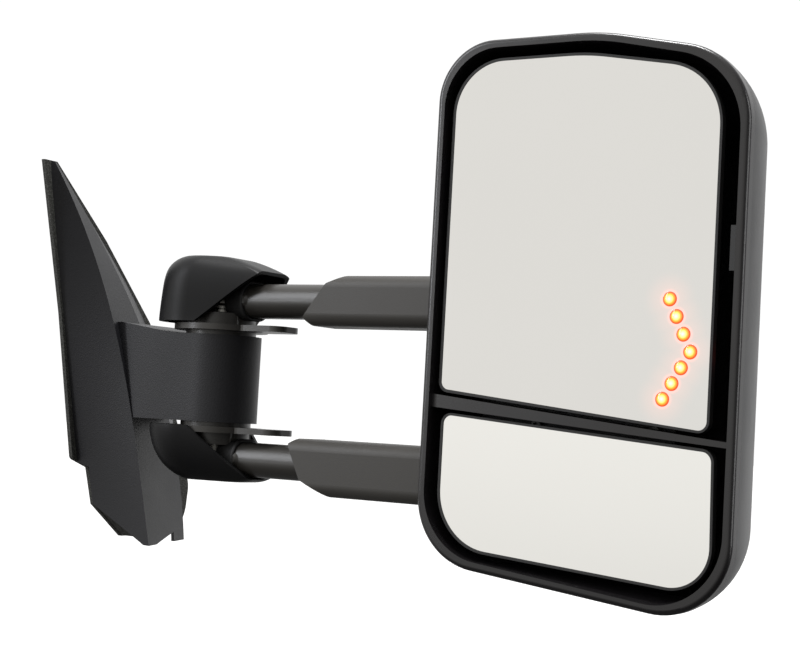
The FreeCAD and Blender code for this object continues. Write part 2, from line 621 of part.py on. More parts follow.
# The turn signal: seven small lamps in an arrowhead that points outboard.
SIGNAL_TIP = (467, 25)
LAMPS = [(SIGNAL_TIP[0] - 4.5 * i, SIGNAL_TIP[1] + 9.75 * i) for i in (3, 2, 1, 0)]
LAMPS += [(SIGNAL_TIP[0] - 5.1 * i, SIGNAL_TIP[1] - 8.9 * i) for i in (1, 2, 3)]
BOARD_MIDDLE = (458.5, 26.5)


def rectangle(centre, half_wide, half_high, turn=None):
    """Corners of an upright rectangle round a centre."""
    x, z = centre
    extra = () if turn is None else (turn,)
    return [(x - half_wide, z - half_high, *extra), (x + half_wide, z - half_high, *extra),
            (x + half_wide, z + half_high, *extra), (x - half_wide, z + half_high, *extra)]


def drill(body, spots, radius, start, length):
    """Round holes through a plate, towards the rear."""
    sketch = new_sketch(body, "XZ_Plane", start)
    for x, z in spots:
        circle(sketch, x, z, radius)
    return pad(body, sketch, length, cut=True)


upper_tray = tray("upper_tray", upper_outline, *UPPER, LEVERS)
board_seat = new_sketch(upper_tray, "XZ_Plane", f"{BACK_OF_GLASS} - dims.pad_thick - 1.3")
pad(upper_tray, outline(board_seat, rectangle(BOARD_MIDDLE, 14.5, 37.5)), 10, cut=True)
keep("upper_tray", upper_tray)
upper_glass = glass("upper_glass", upper_outline)
drill(upper_glass, LAMPS, 3.05, 30, 30)
heater = new_body("heater_pad")
layer(heater, upper_outline(-3), BACK_OF_GLASS, "dims.pad_thick")
drill(heater, LAMPS, 3.05, 30, 30)
keep("heater_pad", heater)
board = new_body("signal_board")
layer(board, rectangle(BOARD_MIDDLE, 14.3, 37.3), f"{BACK_OF_GLASS} - dims.pad_thick", 1.2)
keep("signal_board", board)
lamp = turned("lamp_form", [(0, 0), (2.2, 0), (3, 0.5), (3, 2.85), (0, 2.85)])
group("signal_lamps", lamp, [Placement(Vector(x, -45.15, z), forward) for x, z in LAMPS])

keep("spotter_tray", tray("spotter_tray", lower_outline, *SPOT))
glass("spotter_glass", lower_outline)
spot_tape = new_body("spotter_tape")
layer(spot_tape, lower_outline(-3), BACK_OF_GLASS, "dims.pad_thick")
keep("spotter_tape", spot_tape)

# ---- swivels ---------------------------------------------------------------------------------------

RING_HALF = 14
WINDOW_HALF = 9.5
stub_pin = turned("stub_pin_form", [(0, 0), (1.5, 0), (1.5, 11.4), (0, 11.4)])


def swivel(name, centre, foot):
    """The cross between a glass and its post: a square ring with two upright and two level pins."""
    x, z = centre
    axis_y = -SIZES["swivel_y"]
    cross = new_body(f"{name}_swivel_ring")
    layer(cross, rectangle(centre, RING_HALF, RING_HALF, 4), "dims.swivel_y + 2", 4)
    window = outline(new_sketch(cross, "XZ_Plane", "dims.swivel_y - 3"), rectangle(centre, WINDOW_HALF, WINDOW_HALF, 2))
    pad(cross, window, 10, cut=True)
    pad(cross, circle(new_sketch(cross, "XY_Plane", z - 30), x, "-dims.swivel_y", 1.5), 60, cut=True)
    pad(cross, circle(new_sketch(cross, "YZ_Plane", x - 30), "-dims.swivel_y", z, 1.5), 60, cut=True)
    keep(f"{name}_swivel_ring", cross)
    group(f"{name}_swivel_pins", stub_pin, [
        Placement(Vector(x, axis_y, z + RING_HALF - 11.4), Rotation()),
        Placement(Vector(x, axis_y, z - RING_HALF), Rotation()),
        Placement(Vector(x + WINDOW_HALF, axis_y, z), across),
        Placement(Vector(x - WINDOW_HALF - 11.4, axis_y, z), across),
    ])
    post = new_body(f"{name}_post")
    layer(post, rectangle(centre, 4.5, 8, 1), "dims.swivel_y + 3", f"dims.swivel_y + 3 - {foot}")
    layer(post, rectangle(centre, 11, 11, 2), f"{foot} + 2", 2)
    eye = circle(new_sketch(post, "XY_Plane", z - 30), x, "-dims.swivel_y", 1.56)
    pad(post, eye, 60, cut=True)
    return keep(f"{name}_post", post)


swivel("upper", UPPER, "dims.motor_box_front")
swivel("spotter", SPOT, "dims.frame_y")

# ---- actuator --------------------------------------------------------------------------------------

BOX = (390, 99.5)
box = new_body("actuator_housing")
layer(box, rectangle(BOX, 38, 32.5, 6), "dims.motor_box_front", "dims.motor_box_front - dims.motor_box_back")
flange_front = "dims.frame_y - dims.frame_thick"
layer(box, rectangle(BOX, 45.5, 29, 6), flange_front, 2.5)
room = outline(new_sketch(box, "XZ_Plane", "dims.motor_box_back - 1"), rectangle(BOX, 35.5, 30, 4))
pad(box, room, "dims.motor_box_front - dims.motor_box_back - 1.5", cut=True)
drill(box, LEVERS, "dims.plunger_radius + dims.running_gap", 0, 40)
EARS = [(BOX[0] + 41.8 * i, BOX[1] + 23 * j) for i in (-1, 1) for j in (-1, 1)]
drill(box, EARS, 1.7, 0, 40)
keep("actuator_housing", box)
lid = new_body("actuator_cover")
layer(lid, rectangle(BOX, 38, 32.5, 6), "dims.motor_box_back", 2)
layer(lid, rectangle(BOX, 35.4, 29.9, 3.9), "dims.motor_box_back + 2", 2)
keep("actuator_cover", lid)
motor_profile = [(0, 0), (9.5, 0, 1), (9.5, 24, 1), (3, 24), (3, 26), (1, 26), (1, 31), (0, 31)]
motor = turned("motor_form", motor_profile)
group("actuator_motors", motor, [Placement(Vector(356, -8, z), across) for z in (83, 106)])
plunger_profile = [
    (0, "-dims.ball_radius"), ("dims.ball_radius", "-dims.ball_radius", "dims.ball_radius - 0.1"),
    ("dims.ball_radius", 1.6), ("dims.plunger_radius", 3), ("dims.plunger_radius", 30), (0, 30),
]
for name, (x, z) in zip(("tilt", "pan"), LEVERS):
    keep(f"{name}_plunger", turned(f"{name}_plunger", plunger_profile, Vector(x, -36, z), forward))

# ---- frame -----------------------------------------------------------------------------------------

frame = new_body("head_frame")
frame_edge = [(324, -93, 24), (450, -99, 14), (450, 158, 14), (324, 158, 20)]
layer(frame, frame_edge, "dims.frame_y", "dims.frame_thick")
for side, outside in ((1, 70), (-1, 73.5)):
    level = mirror_z if side < 0 else list
    around = [(-22.5, 34.4, 10), (22.5, 34.4, 10), (22.5, outside + 2.5, 10), (-22.5, outside + 2.5, 10)]
    pad(frame, outline(new_sketch(frame, "YZ_Plane", 326), level(around)), 16)
for side, outside in ((1, 70), (-1, 73.5)):
    level = mirror_z if side < 0 else list
    through = [(-20, 36.9, 8), (20, 36.9, 8), (20, outside, 8), (-20, outside, 8)]
    pad(frame, outline(new_sketch(frame, "YZ_Plane", 300), level(through)), "dims.sleeve_end - 300", cut=True)
pad(frame, outline(new_sketch(frame, "XZ_Plane", 0), rectangle(BOX, 38.3, 32.8, 6)), 30, cut=True)
drill(frame, EARS, 1.5, 0, 40)
drill(frame, POSTS, 2.1, 0, 40)
keep("head_frame", frame)
shell_screw = turned("shell_screw_form", [(0, 0), (3.6, 0), (3.6, 2.4), (2, 2.4), (2, 14), (0, 14)])
group("shell_screws", shell_screw, [Placement(Vector(x, -22.4, z), forward) for x, z in POSTS])
drill(head_shell, POSTS, 2, 0, 17)
small_screw = turned("small_screw_form", [(0, 0), (3, 0), (3, 2), (1.5, 2), (1.5, 8), (0, 8)])
group("actuator_screws", small_screw, [Placement(Vector(x, -11.5, z), rearward) for x, z in EARS])

# ---- small trim ------------------------------------------------------------------------------------

for name, side in (("upper", 1), ("lower", -1)):
    plug = new_body(f"{name}_tube_plug")
    inner_end = outline(new_sketch(plug, "YZ_Plane", "dims.tube_end - 10"), tube_corners(side, "-dims.tube_wall - 0.02"))
    pad(plug, inner_end, 10)
    pad(plug, outline(new_sketch(plug, "YZ_Plane", "dims.tube_end"), tube_corners(side, "-0.5")), 1.5)
    keep(f"{name}_tube_plug", plug)
clip = new_body("bezel_clip")
layer(clip, rectangle((490.1, 82.5), 1.9, 12.5), 47, 9)
keep("bezel_clip", clip)
clip_seat = outline(new_sketch(bezel, "XZ_Plane", 37.9), rectangle((489.5, 82.5), 2.6, 12.6))
pad(bezel, clip_seat, 9.2, cut=True)

# ---- checks and files ------------------------------------------------------------------------------

doc.recompute()
for thing in doc.Objects:
    if {"Invalid", "Error"} & set(thing.State):
        raise RuntimeError(f"{thing.Name} did not build: {thing.State}")
for label, piece in parts.items():
    if piece.Shape.isNull() or not piece.Shape.isValid() or not piece.Shape.Solids:
        raise RuntimeError(f"{label} has no valid solid")

os.makedirs("parts", exist_ok=True)
for label, piece in parts.items():
    piece.Shape.exportStep(f"parts/{label}.step")
    print(f"{label}: {len(piece.Shape.Solids)} solids, {piece.Shape.Volume / 1000:.1f} cm3")
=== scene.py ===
# %% [markdown]
# # A towing mirror on two telescoping arms
# The mirror is a working assembly: a cover on the door, a folding pivot, two arms, and a head with two
# glasses.  Its parts arrive as a finished frame.  This lesson gives every part its finish, and remakes the
# small parts whose detail the frame leaves out.  Everything is in metres, and +Z is up.

# %% Load the frame
import json
import math
import bmesh
import bpy
from mathutils import Matrix, Vector


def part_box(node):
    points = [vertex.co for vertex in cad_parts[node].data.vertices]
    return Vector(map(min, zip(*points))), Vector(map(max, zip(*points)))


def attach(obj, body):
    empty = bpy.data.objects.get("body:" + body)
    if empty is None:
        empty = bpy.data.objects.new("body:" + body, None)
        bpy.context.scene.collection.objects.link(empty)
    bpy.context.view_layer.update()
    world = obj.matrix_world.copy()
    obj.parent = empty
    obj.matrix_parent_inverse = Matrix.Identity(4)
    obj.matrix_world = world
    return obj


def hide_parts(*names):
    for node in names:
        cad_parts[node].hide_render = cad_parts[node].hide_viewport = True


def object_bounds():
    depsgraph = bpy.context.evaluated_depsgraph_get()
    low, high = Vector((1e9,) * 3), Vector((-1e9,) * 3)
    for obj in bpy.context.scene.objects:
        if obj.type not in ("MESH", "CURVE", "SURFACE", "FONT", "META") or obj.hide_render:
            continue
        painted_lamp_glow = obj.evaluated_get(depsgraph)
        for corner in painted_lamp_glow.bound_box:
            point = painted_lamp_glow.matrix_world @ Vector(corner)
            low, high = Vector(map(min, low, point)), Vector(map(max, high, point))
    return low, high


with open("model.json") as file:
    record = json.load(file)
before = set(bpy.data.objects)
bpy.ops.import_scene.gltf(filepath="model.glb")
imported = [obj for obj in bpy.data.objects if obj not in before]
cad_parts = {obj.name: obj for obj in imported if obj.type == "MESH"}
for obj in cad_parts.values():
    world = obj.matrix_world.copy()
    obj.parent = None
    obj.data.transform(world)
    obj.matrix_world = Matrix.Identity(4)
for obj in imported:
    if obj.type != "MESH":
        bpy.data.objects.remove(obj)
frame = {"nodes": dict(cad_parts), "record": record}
cad_bounds = [list(corner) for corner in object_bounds()]
node_body = {node: body for body, nodes in frame["record"]["behaviour"]["bodies"].items() for node in nodes}
node_slot = {row["node"]: row["material_slot"] for row in frame["record"]["subparts"]}
MM = 0.001
print("parts in the frame:", len(frame["nodes"]))

# %% [markdown]
# ## Camera
# The mirror is seen from behind the vehicle, a little outboard of the head, through a short telephoto
# lens.  A long lens keeps the head from looking wider at its near edge.  The camera is placed by its
# compass bearing and pitch, then rolled a few degrees.

# %% Camera
BEARING, PITCH, ROLL = math.radians(32), math.radians(3.2), math.radians(3.2)
camera_data = bpy.data.cameras.new("studio_camera")
camera_data.lens = 76.5
camera_data.sensor_width = 36
camera_data.clip_end = 50
camera = bpy.data.objects.new("studio_camera", camera_data)
bpy.context.collection.objects.link(camera)
turn = Matrix.Rotation(BEARING, 4, "Z") @ Matrix.Rotation(math.radians(90) + PITCH, 4, "X")
camera.matrix_world = Matrix.Translation((0.8273, -0.9249, -0.0220)) @ turn @ Matrix.Rotation(ROLL, 4, "Z")
bpy.context.scene.camera = camera
print("camera", [round(v, 3) for v in camera.matrix_world.translation])

# %% [markdown]
# ## Studio
# Black plastic shows its form only through what it reflects, so the room matters more than the lamps.
# The room is a pale dome: bright behind the mirror, so that the outline is crisp, and a little
# darker and warmer behind the camera, which is the part that the glasses reflect.  It is dark to the
# right and below, so that every round form turns from light to shade.  The floor shows to the camera
# only, for a white floor would fill the undersides with light.  Three area lamps add soft streaks.


# %% Dome, floor and lamps
FLOOR_DROP = 0.22  # how far the floor lies below the mirror


def shade_factor(tree, direction, full, dark, least):
    """A factor that falls smoothly from 1 to `least` as a direction goes from `full` to `dark`."""
    fall = tree.nodes.new("ShaderNodeMapRange")
    fall.interpolation_type = "SMOOTHSTEP"
    fall.inputs["From Min"].default_value = full
    fall.inputs["From Max"].default_value = dark
    fall.inputs["To Min"].default_value = 1
    fall.inputs["To Max"].default_value = least
    tree.links.new(direction, fall.inputs["Value"])
    return fall.outputs["Result"]


def studio_dome():
    world = bpy.data.worlds.new("studio")
    bpy.context.scene.world = world
    world.use_nodes = True
    tree = world.node_tree
    tree.nodes.clear()
    place = tree.nodes.new("ShaderNodeTexCoord")
    axes = tree.nodes.new("ShaderNodeSeparateXYZ")
    ramp = tree.nodes.new("ShaderNodeValToRGB")
    shift = tree.nodes.new("ShaderNodeMath")
    shift.operation = "MULTIPLY_ADD"
    shift.inputs[1].default_value = 0.5
    shift.inputs[2].default_value = 0.5
    right_shade = shade_factor(tree, axes.outputs["X"], 0.05, 0.85, 0.22)
    floor_shade = shade_factor(tree, axes.outputs["Z"], 0.05, -0.6, 0.12)
    both_shades = tree.nodes.new("ShaderNodeMath")
    both_shades.operation = "MULTIPLY"
    sky = tree.nodes.new("ShaderNodeBackground")
    out = tree.nodes.new("ShaderNodeOutputWorld")
    ramp.color_ramp.elements[0].position = 0.15
    ramp.color_ramp.elements[0].color = (0.88, 0.87, 0.84, 1)
    ramp.color_ramp.elements[1].position = 0.6
    ramp.color_ramp.elements[1].color = (1.05, 1.05, 1.05, 1)
    tree.links.new(place.outputs["Generated"], axes.inputs[0])
    tree.links.new(axes.outputs["Y"], shift.inputs[0])
    tree.links.new(shift.outputs[0], ramp.inputs[0])
    tree.links.new(ramp.outputs["Color"], sky.inputs["Color"])
    tree.links.new(right_shade, both_shades.inputs[0])
    tree.links.new(floor_shade, both_shades.inputs[1])
    tree.links.new(both_shades.outputs[0], sky.inputs["Strength"])
    tree.links.new(sky.outputs[0], out.inputs[0])


def area_lamp(name, place, aim, width, height, watts, colour=(1, 1, 1)):
    """A rectangular soft lamp that faces a point."""
    data = bpy.data.lights.new(name, "AREA")
    data.shape = "RECTANGLE"
    data.size = width
    data.size_y = height
    data.energy = watts
    data.color = colour
    lamp = bpy.data.objects.new(name, data)
    lamp.location = place
    lamp.rotation_euler = (Vector(aim) - Vector(place)).to_track_quat("-Z", "Y").to_euler()
    bpy.context.collection.objects.link(lamp)


studio_dome()
area_lamp("overhead", (0.24, -0.10, 1.5), (0.25, 0, 0), 0.55, 0.35, 22)
area_lamp("left_strip", (-0.7, -1.1, 0.6), (0.1, 0, 0), 0.25, 1.2, 10, (0.93, 0.95, 1))
area_lamp("right_rim", (1.6, 0.1, 0.3), (0.5, 0, 0), 0.5, 1.2, 6)

floor_mesh = bpy.data.meshes.new("studio_floor")
sweep = bmesh.new()
bmesh.ops.create_grid(sweep, x_segments=1, y_segments=1, size=20)
sweep.to_mesh(floor_mesh)
sweep.free()
floor = bpy.data.objects.new("studio_floor", floor_mesh)
floor.location.z = cad_bounds[0][2] - FLOOR_DROP
floor_paint = bpy.data.materials.new("floor_paint")
floor_paint.use_nodes = True
floor_shader = next(n for n in floor_paint.node_tree.nodes if n.type == "BSDF_PRINCIPLED")
floor_shader.inputs["Base Color"].default_value = (0.93, 0.93, 0.93, 1)
floor_shader.inputs["Roughness"].default_value = 0.9
floor_shader.inputs["Specular IOR Level"].default_value = 0.1
floor_shader.inputs["Emission Color"].default_value = (1, 1, 1, 1)
floor_shader.inputs["Emission Strength"].default_value = 0.45
floor_mesh.materials.append(floor_paint)
floor.visible_diffuse = False
floor.visible_glossy = False
bpy.context.collection.objects.link(floor)
bpy.context.scene.view_settings.view_transform = "Standard"

# %% [markdown]
# ## Writing shaders as sums
# A finish is mostly arithmetic on positions.  Wiring Math nodes by hand hides that arithmetic, so a small
# class stands for a socket, and `+`, `*` and the rest add the Math nodes.  Any other node comes from one
# method, which sets the node's own settings first and its sockets after.


# %% Socket arithmetic
class Socket:
    """One output of a node tree, with arithmetic."""

    def __init__(self, tree, output):
        self.tree = tree
        self.output = output

    def node(self, kind, settings=None, out=0, **values):
        """Add a node of a kind, set it up and return one of its outputs."""
        made = self.tree.nodes.new("ShaderNode" + kind)
        for name, value in (settings or {}).items():
            if name == "stops":
                ramp = made.color_ramp
                while len(ramp.elements) < len(value):
                    ramp.elements.new(1)
                for element, (place, colour) in zip(ramp.elements, value):
                    element.position = place
                    element.color = (*colour, 1) if len(colour) == 3 else colour
            else:
                setattr(made, name, value)
        for name, value in values.items():
            socket = made.inputs[int(name[1:])] if name[1:].isdigit() else made.inputs[name.replace("_", " ")]
            self.feed(socket, value)
        return Socket(self.tree, made.outputs[out])

    def feed(self, socket, value):
        if isinstance(value, Socket):
            self.tree.links.new(value.output, socket)
        else:
            socket.default_value = value

    def maths(self, operation, other):
        return self.node("Math", {"operation": operation}, i0=self, i1=other)

    def __add__(self, other): return self.maths("ADD", other)
    def __radd__(self, other): return self.maths("ADD", other)
    def __mul__(self, other): return self.maths("MULTIPLY", other)
    def __rmul__(self, other): return self.maths("MULTIPLY", other)
    def __pow__(self, other): return self.maths("POWER", other)

    def below(self, edge, soft):
        """1 where the value is under the edge, falling to 0 over a soft width."""
        return self.node("MapRange", {"interpolation_type": "SMOOTHSTEP"}, Value=self,
                         From_Min=edge - soft, From_Max=edge + soft, To_Min=1.0, To_Max=0.0)


class Finish:
    """A material with a Principled shader and handy textures on object coordinates."""

    def __init__(self, name, colour, rough, metal=0.0, specular=0.4, coat=0.0, coat_rough=0.1):
        self.material = bpy.data.materials.new(name)
        self.material.use_nodes = True
        self.material.diffuse_color = (*colour, 1)
        self.tree = self.material.node_tree
        self.shader = next(n for n in self.tree.nodes if n.type == "BSDF_PRINCIPLED")
        coordinates = self.tree.nodes.new("ShaderNodeTexCoord")
        self.place = Socket(self.tree, coordinates.outputs["Object"])
        self.set("Base Color", (*colour, 1))
        self.set("Roughness", rough)
        self.set("Metallic", metal)
        self.set("Specular IOR Level", specular)
        self.set("Coat Weight", coat)
        self.set("Coat Roughness", coat_rough)

    def set(self, name, value):
        """Feed one of the shader's sockets, with a value or with another socket."""
        self.place.feed(self.shader.inputs[name], value)

    def noise(self, size, detail=2.0, rough=0.5):
        """Noise whose features are about `size` metres across, from 0 to 1."""
        return self.place.node("TexNoise", Vector=self.place, Scale=1 / size, Detail=detail, Roughness=rough)

    def cells(self, size):
        """Distance to the nearest point of a random scatter, in units of the spacing."""
        return self.place.node("TexVoronoi", Vector=self.place, Scale=1 / size)

    def distance(self, spot):
        """Distance to a point, in metres."""
        return self.place.node("VectorMath", {"operation": "DISTANCE"}, out=1, i0=self.place, i1=tuple(spot))

    def blend(self, mask, dark, light):
        """A colour between two, by a mask."""
        return self.place.node("Mix", {"data_type": "RGBA"}, out=2, i0=mask, i6=(*dark, 1), i7=(*light, 1))

    def bump(self, height, depth):
        """Raise the surface by height times depth, in metres."""
        return self.place.node("Bump", Height=height, Distance=depth, Strength=1.0)


def tint(colour, factor):
    return tuple(channel * factor for channel in colour)


print("shader helpers ready")

# %% [markdown]
# ## Moulded black plastics
# Nearly everything that shows is black plastic, and it differs only in grain and gloss.  The cover has a
# coarse spark-eroded grain that sparkles along the barrel.  The sleeves are a satin plastic, the caps a
# smoother one, and the bezel shines on its inner wall.  One recipe serves all: a cell pattern for the
# eroded grain, a fine noise for tooth, and a slow noise that varies the gloss as handling does.


# %% Plastic recipe
GLOSS_SPREAD = 0.08  # how far handling moves the roughness, each way


def moulded(name, colour, rough, grain, depth, specular=0.35, lift=1.35):
    """Moulded plastic: grain size and depth in metres, lift for how much lighter the peaks are."""
    finish = Finish(name, colour, rough, specular=specular)
    pits = finish.cells(grain)
    tooth = finish.noise(grain * 0.45, 3)
    cloud = finish.noise(0.06, 4)
    height = pits * 0.7 + tooth * 0.5
    finish.set("Base Color", finish.blend(cloud * 0.5 + tooth * 0.5, tint(colour, 0.75), tint(colour, lift)))
    finish.set("Roughness", cloud * (2 * GLOSS_SPREAD) + (rough - GLOSS_SPREAD) + tooth * 0.06)
    finish.set("Normal", finish.bump(height, depth))
    return finish


textured_black = moulded("textured_black", (0.0105, 0.0105, 0.0125), 0.45, 0.0009, 0.00010, 0.34, 1.7)
arm_plastic = moulded("arm_plastic", (0.046, 0.043, 0.039), 0.42, 0.0007, 0.00004, 0.38)
cap_plastic = moulded("cap_plastic", (0.0075, 0.0075, 0.008), 0.40, 0.0006, 0.00002, 0.18)
head_plastic = moulded("head_plastic", (0.016, 0.016, 0.017), 0.38, 0.0007, 0.00005, 0.5)
bezel_plastic = moulded("bezel_plastic", (0.0105, 0.0095, 0.0105), 0.24, 0.0008, 0.00001, 0.55)
inner_plastic = moulded("inner_plastic", (0.022, 0.022, 0.022), 0.55, 0.0006, 0.00003, 0.4)
clip_grey = moulded("clip_grey", (0.035, 0.035, 0.036), 0.5, 0.0005, 0.00002)
slide_plastic = moulded("slide_plastic", (0.50, 0.47, 0.40), 0.42, 0.0008, 0.00002, 0.5, 1.1)

# %% [markdown]
# ## Paint, metal and rubber
# The arm tubes are extruded and painted, so their grain runs along the tube.  Machined steel has fine
# rings round its axis, and cast metal a sandy skin.  Foam is a heap of open cells, so its colour is
# speckled and its height comes from two sizes of cell.


# %% Metals
def arm_paint_finish():
    finish = Finish("arm_paint", (0.024, 0.022, 0.019), 0.34, specular=0.55, coat=0.15, coat_rough=0.3)
    along = finish.place.node("Mapping", Vector=finish.place, Scale=(30.0, 900.0, 900.0))
    drawn = finish.place.node("TexNoise", Vector=along, Scale=1.0, Detail=3.0)
    peel = finish.noise(0.0018, 2)
    cloud = finish.noise(0.05, 3)
    finish.set("Base Color", finish.blend(cloud, (0.018, 0.0165, 0.0145), (0.034, 0.031, 0.027)))
    finish.set("Roughness", drawn * 0.10 + cloud * 0.10 + 0.26)
    finish.set("Normal", finish.bump(drawn * 0.6 + peel, 0.00003))
    return finish


def turned_metal(name, colour, rough, axis_stretch=(1.0, 1.0, 1.0)):
    """Metal off a lathe: fine tool rings, and a dull film in patches."""
    finish = Finish(name, colour, rough, metal=1.0, specular=0.5)
    stretched = finish.place.node("Mapping", Vector=finish.place, Scale=axis_stretch)
    rings = finish.place.node("TexNoise", Vector=stretched, Scale=900.0, Detail=2.0)
    film = finish.noise(0.012, 4)
    finish.set("Base Color", finish.blend(film, tint(colour, 0.72), tint(colour, 1.1)))
    finish.set("Roughness", film * 0.22 + rings * 0.10 + (rough - 0.12))
    finish.set("Normal", finish.bump(rings, 0.00002))
    return finish


def cast_metal():
    finish = Finish("die_cast", (0.40, 0.40, 0.41), 0.48, metal=1.0)
    sand = finish.noise(0.0011, 4, 0.65)
    flow = finish.noise(0.03, 3)
    finish.set("Base Color", finish.blend(flow, (0.30, 0.30, 0.31), (0.46, 0.46, 0.47)))
    finish.set("Roughness", flow * 0.2 + sand * 0.15 + 0.32)
    finish.set("Normal", finish.bump(sand, 0.00018))
    return finish


arm_paint = arm_paint_finish()
die_cast = cast_metal()
zinc_steel = turned_metal("zinc_steel", (0.60, 0.59, 0.55), 0.34)
bronze = turned_metal("bronze", (0.55, 0.34, 0.14), 0.42)
motor_can = turned_metal("motor_can", (0.52, 0.52, 0.52), 0.3, (0.05, 1.0, 1.0))


# %% Foam, rubber, film and board
def foam_finish():
    finish = Finish("foam", (0.03, 0.03, 0.029), 0.85, specular=0.3)
    coarse = finish.cells(0.0016)
    fine = finish.cells(0.0006)
    finish.set("Base Color", finish.blend(fine ** 1.4, (0.012, 0.012, 0.011), (0.13, 0.13, 0.12)))
    finish.set("Roughness", fine * 0.1 + 0.8)
    finish.set("Normal", finish.bump(coarse * 0.7 + fine * 0.5, 0.0005))
    return finish


def rubber_finish():
    finish = Finish("black_rubber", (0.012, 0.012, 0.012), 0.62, specular=0.35)
    bloom = finish.noise(0.008, 4)
    finish.set("Base Color", finish.blend(bloom, (0.009, 0.009, 0.009), (0.026, 0.026, 0.027)))
    finish.set("Roughness", bloom * 0.2 + 0.5)
    finish.set("Normal", finish.bump(finish.noise(0.0008, 2), 0.00004))
    return finish


def heater_finish():
    """A thin film with printed tracks."""
    finish = Finish("heater_film", (0.28, 0.13, 0.04), 0.35, coat=0.3)
    tracks = finish.place.node("TexWave", {"wave_type": "BANDS", "bands_direction": "Z"},
                               Vector=finish.place, Scale=40.0, Distortion=0.4)
    finish.set("Base Color", finish.blend(tracks.below(0.5, 0.05), (0.02, 0.02, 0.02), (0.42, 0.20, 0.06)))
    return finish


def board_finish():
    finish = Finish("board_green", (0.02, 0.11, 0.04), 0.35, coat=0.4)
    lines = finish.cells(0.004).below(0.18, 0.02)
    finish.set("Base Color", finish.blend(lines, (0.015, 0.10, 0.035), (0.50, 0.36, 0.12)))
    return finish


foam = foam_finish()
black_rubber = rubber_finish()
heater_film = heater_finish()
board_green = board_finish()
print("finishes:", len(bpy.data.materials))

# %% [markdown]
# ## The two glasses
# Each glass is a plain mirror, with a faint warm haze that drifts across it.  The upper glass also has a
# painted glow round the lamps of the turn signal: emission in the glass stands in for their light, which
# leaks sideways between the glass and its heater.
# The glow is worked out from the distance to each lamp, and a lamp's place is the middle of its own solid.
# The outermost lamp's light is painted on the bezel beside it as well, as a red glow.


# %% Lamp places
def islands(mesh):
    """The separate solids of a mesh, as lists of vertices."""
    left = set(mesh.verts)
    groups = []
    while left:
        frontier = [left.pop()]
        group = []
        while frontier:
            vert = frontier.pop()
            group.append(vert)
            for edge in vert.link_edges:
                other = edge.other_vert(vert)
                if other in left:
                    left.remove(other)
                    frontier.append(other)
        groups.append(group)
    return groups


def middle(verts):
    """The middle of the box round some vertices."""
    return Vector([(min(v.co[i] for v in verts) + max(v.co[i] for v in verts)) / 2 for i in range(3)])


def solid_places(node):
    """The middle of each separate solid of a node."""
    source = bmesh.new()
    source.from_mesh(frame["nodes"][node].data)
    bmesh.ops.remove_doubles(source, verts=source.verts, dist=1e-6)
    places = sorted((middle(group) for group in islands(source)), key=tuple)
    source.free()
    return places


lamp_places = sorted(solid_places("signal_lamps"), key=lambda p: p.z)
lamp_radius = 4.2 * MM
print("lamps:", len(lamp_places))


# %% Glass finishes
def silvered(name, colour):
    finish = Finish(name, colour, 0.02, metal=1.0)
    haze = finish.noise(0.09, 3)
    finish.set("Base Color", finish.blend(haze, tint(colour, 0.985), tint(colour, 1.01)))
    finish.set("Roughness", haze * 0.02 + 0.01)
    return finish


def glow_round_lamps(finish):
    """Painted red-orange lamp light in the glass, brightest beside each lamp."""
    nearest = finish.distance(lamp_places[0])
    for lamp in lamp_places[1:]:
        nearest = nearest.maths("MINIMUM", finish.distance(lamp))
    halo = nearest.below(5.0 * MM, 1.6 * MM)
    wide = nearest.below(9.5 * MM, 8 * MM)
    light = finish.blend(halo, (0.16, 0.035, 0.012), (0.75, 0.09, 0.03))
    # painted light: emission that stands in for the signal lamps' light in the glass
    painted_lamp_glow = finish.place.node("Mix", {"data_type": "RGBA"}, out=2, i0=wide, i6=(0, 0, 0, 1), i7=light)
    finish.set("Emission Color", painted_lamp_glow)
    finish.set("Emission Strength", 1.0)


def glow_on_wall(finish):
    """Painted lamp light: a red glow on the bezel's inner wall beside the outermost lamp."""
    tip = max(lamp_places, key=lambda p: p.x)
    spot = (tip.x + 19.5 * MM, tip.y + 9 * MM, tip.z - 1 * MM)
    # painted light: emission that stands in for the outermost lamp's light falling on the bezel wall
    painted_wall_glow = finish.blend(finish.distance(spot).below(4.5 * MM, 4.5 * MM), (0, 0, 0), (0.5, 0.018, 0.006))
    finish.set("Emission Color", painted_wall_glow)
    finish.set("Emission Strength", 1.0)


upper_mirror = silvered("upper_mirror", (0.83, 0.822, 0.808))
glow_round_lamps(upper_mirror)
glow_on_wall(bezel_plastic)
lower_mirror = silvered("lower_mirror", (0.97, 0.965, 0.945))

# %% [markdown]
# ## Hanging the finishes on the frame
# Each part of the frame names its finish.  A part keeps its own mesh, and only its material slot changes.

# %% Assign finishes
finishes = {
    "textured_black": textured_black, "foam": foam, "die_cast": die_cast, "zinc_steel": zinc_steel,
    "black_rubber": black_rubber, "bronze": bronze, "slide_plastic": slide_plastic, "arm_paint": arm_paint,
    "arm_plastic": arm_plastic, "cap_plastic": cap_plastic, "head_plastic": head_plastic,
    "bezel_plastic": bezel_plastic, "inner_plastic": inner_plastic, "upper_mirror": upper_mirror,
    "lower_mirror": lower_mirror, "heater_film": heater_film, "board_green": board_green,
    "amber_lens": bezel_plastic, "motor_can": motor_can, "clip_grey": clip_grey,
}
for node, part in frame["nodes"].items():
    part.data.materials.clear()
    part.data.materials.append(finishes[node_slot[node]].material)
print("finished parts:", len(frame["nodes"]))

# %% [markdown]
# ## Signal lamps
# Each lamp is a small clear dome over a bright chip: nearly white in the middle, then yellow, then a deep
# orange rim.  A spun profile gives the dome, and an attribute that runs from 0 at the crown to 1 at
# the rim carries the colour, so the glow belongs to the lamp whichever way it is seen.


